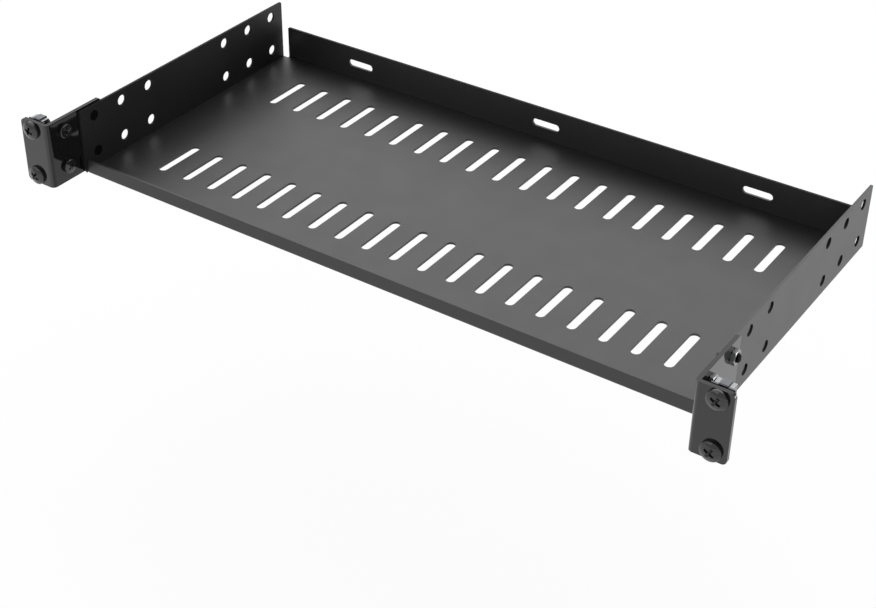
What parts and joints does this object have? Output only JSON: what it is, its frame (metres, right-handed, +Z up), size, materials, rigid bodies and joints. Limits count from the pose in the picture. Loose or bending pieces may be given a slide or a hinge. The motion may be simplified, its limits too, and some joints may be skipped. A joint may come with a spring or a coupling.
{
  "type": "rack shelf",
  "caption": "Vented one-unit shelf tray folded from one sheet, with bent steel brackets at both front corners that screw to a server rack.",
  "frame": {"origin": "the centre of the four rack screws, in the plane of the bracket flanges' rear faces, where they meet the rack", "axes": "+X to the right seen from the front, +Y to the back of the rack, +Z up"},
  "size_m": [0.4826, 0.2331, 0.0446],
  "materials": {
    "tray_black": "satin fine-grained black powder coat",
    "bracket_black": "gloss black coat",
    "screw_black": "gloss black coat",
    "nut_black": "semi-gloss black coat",
    "stud_black": "semi-gloss black coat",
    "nut_steel": "zinc plated",
    "spring_steel": "plain spring steel"
  },
  "bodies": {
    "root": {"left_bracket": "bracket_black", "nut_cage_left_lower": "spring_steel", "nut_cage_left_upper": "spring_steel", "nut_cage_right_lower": "spring_steel", "nut_cage_right_upper": "spring_steel", "rack_screw_left_lower": "screw_black", "rack_screw_left_upper": "screw_black", "rack_screw_right_lower": "screw_black", "rack_screw_right_upper": "screw_black", "right_bracket": "bracket_black", "screw_nut_left_lower": "nut_black", "screw_nut_left_upper": "nut_black", "screw_nut_right_lower": "nut_black", "screw_nut_right_upper": "nut_black", "shelf_tray": "tray_black", "side_screw_left_lower": "screw_black", "side_screw_left_upper": "screw_black", "side_screw_right_lower": "screw_black", "side_screw_right_upper": "screw_black", "square_nut_left_lower": "nut_steel", "square_nut_left_upper": "nut_steel", "square_nut_right_lower": "nut_steel", "square_nut_right_upper": "nut_steel", "stud_nut_left_lower": "nut_black", "stud_nut_left_upper": "nut_black", "stud_nut_right_lower": "nut_black", "stud_nut_right_upper": "nut_black", "tray_stud_left_lower": "stud_black", "tray_stud_left_upper": "stud_black", "tray_stud_right_lower": "stud_black", "tray_stud_right_upper": "stud_black"}
  },
  "joints": []
}
